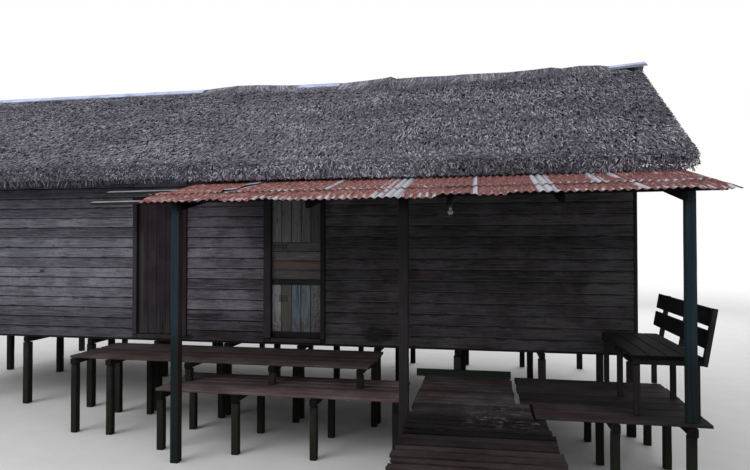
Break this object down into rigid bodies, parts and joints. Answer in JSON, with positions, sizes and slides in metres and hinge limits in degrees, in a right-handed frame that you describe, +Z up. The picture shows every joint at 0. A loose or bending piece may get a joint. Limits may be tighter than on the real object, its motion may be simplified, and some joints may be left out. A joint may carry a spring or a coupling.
{
  "type": "timber stilt house with thatched roof and porch",
  "caption": "Long timber house on stilts with a palm-thatch gable roof, boarded walls, a rusted corrugated porch roof on posts, plank decks and a bench.",
  "frame": {"origin": "on the ground, under the middle of the house, at the foot of the middle stilt", "axes": "+X along the front to the right, +Y from the front to the back, +Z up"},
  "size_m": [11.4461, 7.705, 4.999],
  "materials": {
    "wet_timber": "dark damp hardwood",
    "inside_timber": "rough sawn, smoke darkened",
    "thatch": "weathered grey palm thatch",
    "ridge_metal": "dull bluish zinc",
    "grey_cladding": "weathered grey boards",
    "reddish_cladding": "weathered boards with worn red paint",
    "brown_cladding": "weathered brown-grey boards",
    "maroon_timber": "old maroon paint",
    "dark_timber": "dark weathered timber",
    "patchwork_boards": "reused boards in worn paints",
    "teal_paint": "worn teal paint",
    "pale_timber": "pale sawn timber",
    "rusted_iron": "rusted corrugated iron with bare zinc",
    "deck_timber": "worn reddish-brown planks",
    "green_paint": "worn green paint",
    "old_planks": "old grey planks",
    "bench_timber": "grey planks",
    "bench_back_timber": "dark greenish boards",
    "hinge_iron": "rusted iron",
    "lamp_plastic": "dark lamp holder",
    "bulb_glass": "white opal bulb"
  },
  "bodies": {
    "root": {"house_stilts": "wet_timber", "cross_bearers": "wet_timber", "floor_joists": "wet_timber", "floor": "inside_timber", "wall_studs": "inside_timber", "wall_plates": "inside_timber", "ridge_frame": "inside_timber", "rafters": "inside_timber", "roof_battens": "inside_timber", "front_thatch": "thatch", "back_thatch": "thatch", "ridge_sheets": "ridge_metal", "front_wall_left": "grey_cladding", "front_wall_middle": "reddish_cladding", "front_wall_right": "brown_cladding", "front_wall_heads": "grey_cladding", "back_wall": "grey_cladding", "left_gable_wall": "grey_cladding", "right_gable_wall": "brown_cladding", "corner_boards": "grey_cladding", "left_door_frame": "maroon_timber", "right_door_frame": "dark_timber", "hinge_hooks": "hinge_iron", "painted_porch_posts": "teal_paint", "plain_porch_post": "dark_timber", "porch_ledger": "dark_timber", "porch_rafters": "dark_timber", "porch_purlins": "pale_timber", "porch_sheets_lower": "rusted_iron", "porch_sheets_upper": "rusted_iron", "deck_stilts": "wet_timber", "deck_bearers": "wet_timber", "left_deck_boards": "deck_timber", "middle_deck_boards": "deck_timber", "right_deck_boards": "deck_timber", "green_beam": "green_paint", "boardwalk_planks": "old_planks", "walkway_planks": "deck_timber", "bench_posts": "bench_timber", "bench_rails": "bench_timber", "bench_seat": "bench_timber", "bench_back": "bench_back_timber", "lamp_holder": "lamp_plastic", "lamp_bulb": "bulb_glass"},
    "left_door": {"left_door_boards": "maroon_timber", "left_door_ledges": "dark_timber", "left_door_straps": "hinge_iron"},
    "right_door": {"right_door_boards": "patchwork_boards", "right_door_rails": "dark_timber", "right_door_straps": "hinge_iron"}
  },
  "joints": [
    {"name": "left_door_hinge", "type": "hinge", "parent": "root", "child": "left_door", "pos_m": [-1.295, -1.905, 1.9], "axis": [0, 0, 1], "range_deg": [0, 90]},
    {"name": "right_door_hinge", "type": "hinge", "parent": "root", "child": "right_door", "pos_m": [0.632, -1.905, 1.9], "axis": [0, 0, 1], "range_deg": [0, 90]}
  ]
}
